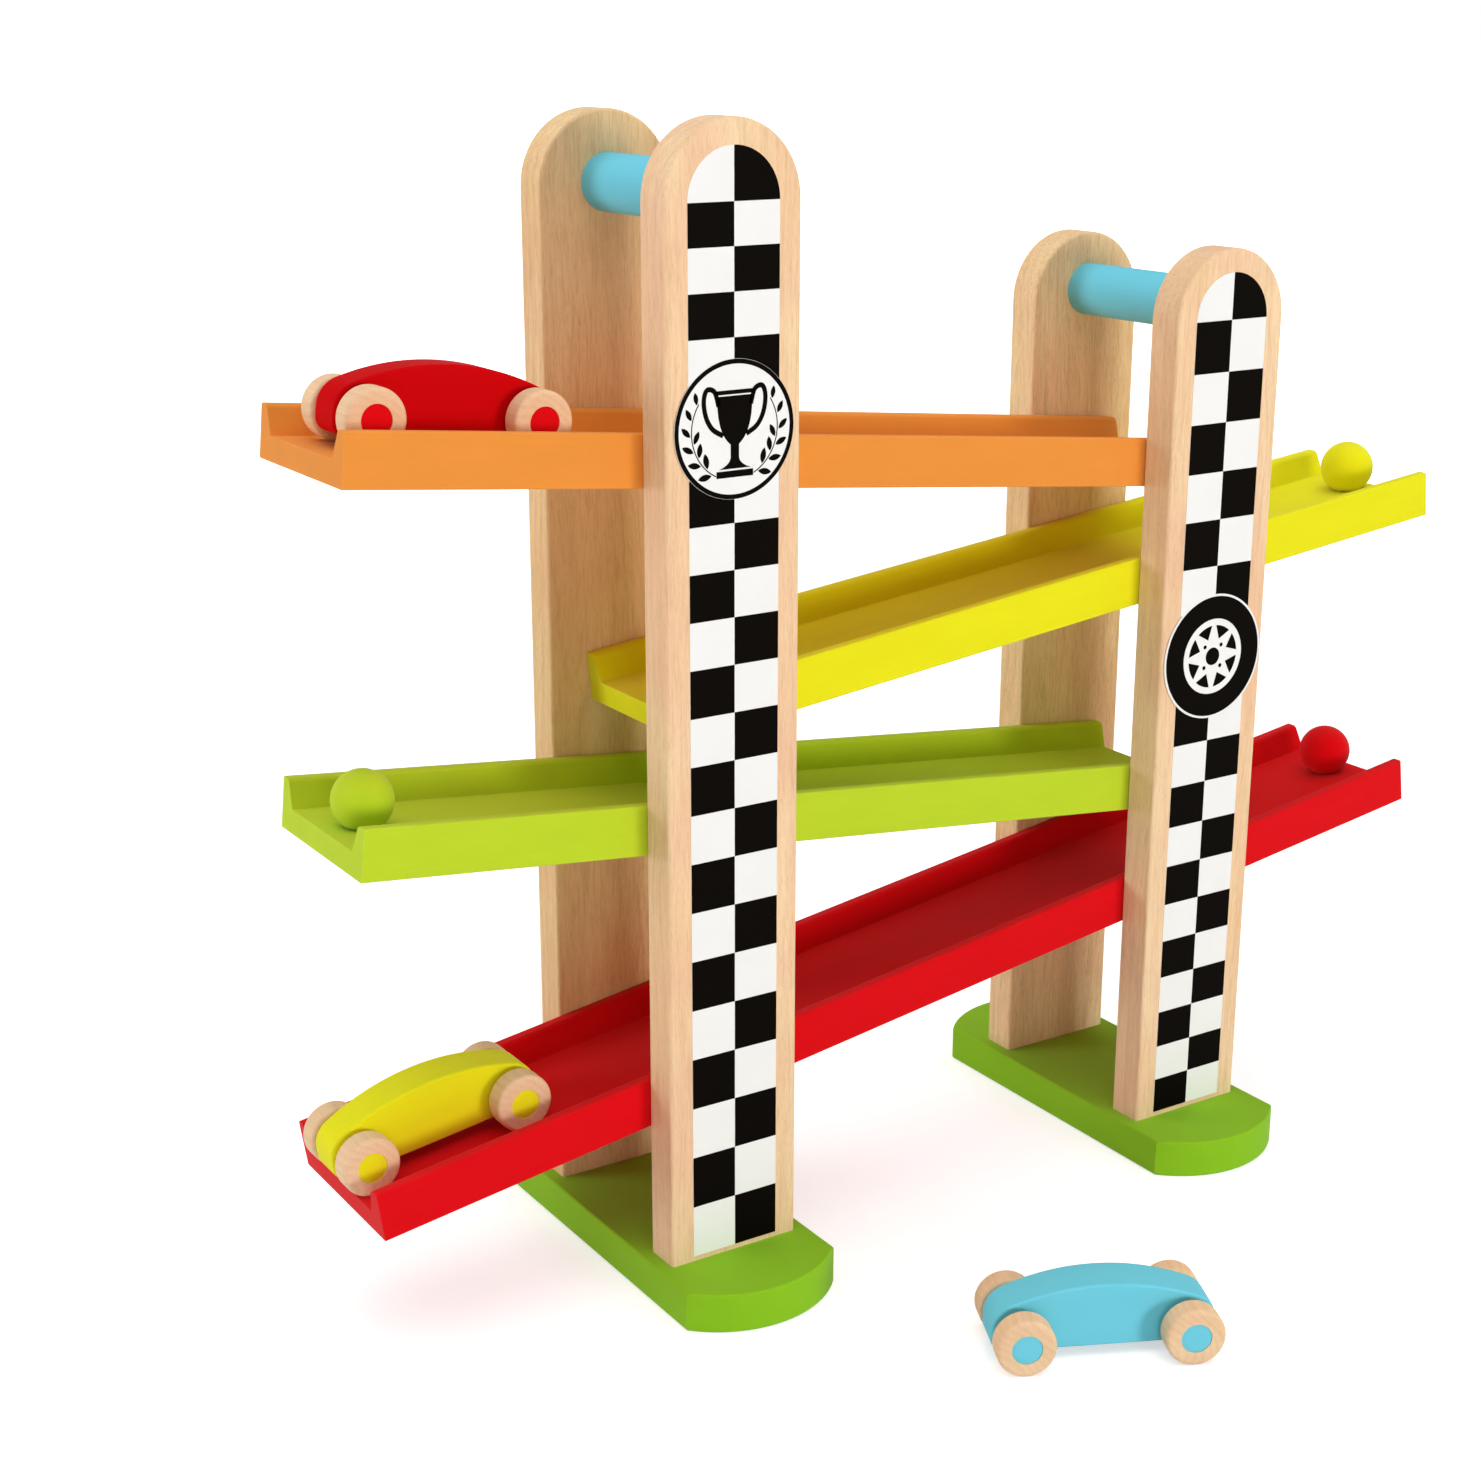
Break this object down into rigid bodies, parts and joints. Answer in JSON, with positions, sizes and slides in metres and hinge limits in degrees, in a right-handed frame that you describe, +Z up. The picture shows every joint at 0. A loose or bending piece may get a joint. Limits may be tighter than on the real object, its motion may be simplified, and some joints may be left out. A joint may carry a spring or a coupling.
{
  "type": "toy race track",
  "caption": "Wooden toy race track: sloping channels in different colours zigzag between pairs of round-topped uprights on green bases, with small wooden cars.",
  "frame": {"origin": "centre of the left base's underside, on the floor", "axes": "+X along the tracks towards the right pair of uprights, +Y to the back, +Z up"},
  "size_m": [0.3909, 0.2113, 0.3314],
  "materials": {
    "natural_wood": "satin clear-coated beech",
    "wheel_wood": "smooth clear-coated wood",
    "dowel_wood": "plain wood",
    "base_green": "satin green paint on wood",
    "light_blue": "satin light blue paint on wood",
    "orange": "satin orange paint on wood",
    "yellow": "satin yellow paint on wood",
    "lime": "satin lime paint on wood",
    "red": "satin red paint on wood",
    "sticker": "printed film, black on white",
    "screw_steel": "zinc-plated steel"
  },
  "bodies": {
    "tower": {"left_base": "base_green", "right_base": "base_green", "left_front_upright": "natural_wood", "left_back_upright": "natural_wood", "right_front_upright": "natural_wood", "right_back_upright": "natural_wood", "left_crossbar": "light_blue", "right_crossbar": "light_blue", "orange_track": "orange", "yellow_track": "yellow", "green_track": "lime", "red_track": "red", "yellow_stop_ball": "yellow", "green_stop_ball": "lime", "red_stop_ball": "red", "stop_ball_pins": "dowel_wood", "track_dowels": "dowel_wood", "base_screws": "screw_steel", "left_checker_sticker": "sticker", "right_checker_sticker": "sticker", "trophy_badge_sticker": "sticker", "wheel_badge_sticker": "sticker"},
    "red_car": {"red_car_body": "red"},
    "red_car_front_wheels": {"red_car_front_axle": "dowel_wood", "red_car_front_near_wheel": "wheel_wood", "red_car_front_near_hub_cap": "red", "red_car_front_far_wheel": "wheel_wood", "red_car_front_far_hub_cap": "red"},
    "red_car_rear_wheels": {"red_car_rear_axle": "dowel_wood", "red_car_rear_near_wheel": "wheel_wood", "red_car_rear_near_hub_cap": "red", "red_car_rear_far_wheel": "wheel_wood", "red_car_rear_far_hub_cap": "red"},
    "yellow_car": {"yellow_car_body": "yellow"},
    "yellow_car_front_wheels": {"yellow_car_front_axle": "dowel_wood", "yellow_car_front_near_wheel": "wheel_wood", "yellow_car_front_near_hub_cap": "yellow", "yellow_car_front_far_wheel": "wheel_wood", "yellow_car_front_far_hub_cap": "yellow"},
    "yellow_car_rear_wheels": {"yellow_car_rear_axle": "dowel_wood", "yellow_car_rear_near_wheel": "wheel_wood", "yellow_car_rear_near_hub_cap": "yellow", "yellow_car_rear_far_wheel": "wheel_wood", "yellow_car_rear_far_hub_cap": "yellow"},
    "blue_car": {"blue_car_body": "light_blue"},
    "blue_car_front_wheels": {"blue_car_front_axle": "dowel_wood", "blue_car_front_near_wheel": "wheel_wood", "blue_car_front_near_hub_cap": "light_blue", "blue_car_front_far_wheel": "wheel_wood", "blue_car_front_far_hub_cap": "light_blue"},
    "blue_car_rear_wheels": {"blue_car_rear_axle": "dowel_wood", "blue_car_rear_near_wheel": "wheel_wood", "blue_car_rear_near_hub_cap": "light_blue", "blue_car_rear_far_wheel": "wheel_wood", "blue_car_rear_far_hub_cap": "light_blue"}
  },
  "joints": [
    {"name": "red_car_roll", "type": "slide", "parent": "tower", "child": "red_car", "axis": [0.9951, 0, -0.0988], "range_m": [-0.005, 0.222]},
    {"name": "red_car_front_axle_turn", "type": "hinge", "parent": "red_car", "child": "red_car_front_wheels", "pos_m": [-0.04292, 0, 0.25405], "axis": [0, 1, 0], "continuous": true},
    {"name": "red_car_rear_axle_turn", "type": "hinge", "parent": "red_car", "child": "red_car_rear_wheels", "pos_m": [-0.09019, 0, 0.25874], "axis": [0, 1, 0], "continuous": true},
    {"name": "yellow_car_roll", "type": "slide", "parent": "tower", "child": "yellow_car", "axis": [-0.9892, 0, -0.1466], "range_m": [-0.31, 0.004]},
    {"name": "yellow_car_front_axle_turn", "type": "hinge", "parent": "yellow_car", "child": "yellow_car_front_wheels", "pos_m": [-0.10123, 0, 0.05526], "axis": [0, -1, 0], "continuous": true},
    {"name": "yellow_car_rear_axle_turn", "type": "hinge", "parent": "yellow_car", "child": "yellow_car_rear_wheels", "pos_m": [-0.05425, 0, 0.06223], "axis": [0, -1, 0], "continuous": true},
    {"name": "blue_car_roll", "type": "slide", "parent": "tower", "child": "blue_car", "axis": [0.9041, -0.4274, 0], "range_m": [-0.03, 0.15]},
    {"name": "blue_car_front_axle_turn", "type": "hinge", "parent": "blue_car", "child": "blue_car_front_wheels", "pos_m": [0.08982, -0.13065, 0.0085], "axis": [0.4274, 0.9041, 0], "continuous": true},
    {"name": "blue_car_rear_axle_turn", "type": "hinge", "parent": "blue_car", "child": "blue_car_rear_wheels", "pos_m": [0.04688, -0.11035, 0.0085], "axis": [0.4274, 0.9041, 0], "continuous": true}
  ],
  "couplings": [
    {"joint": "red_car_front_axle_turn", "follows": "red_car_roll", "rad_per_m": 117.65},
    {"joint": "red_car_rear_axle_turn", "follows": "red_car_roll", "rad_per_m": 117.65},
    {"joint": "yellow_car_front_axle_turn", "follows": "yellow_car_roll", "rad_per_m": 117.65},
    {"joint": "yellow_car_rear_axle_turn", "follows": "yellow_car_roll", "rad_per_m": 117.65},
    {"joint": "blue_car_front_axle_turn", "follows": "blue_car_roll", "rad_per_m": 117.65},
    {"joint": "blue_car_rear_axle_turn", "follows": "blue_car_roll", "rad_per_m": 117.65}
  ]
}
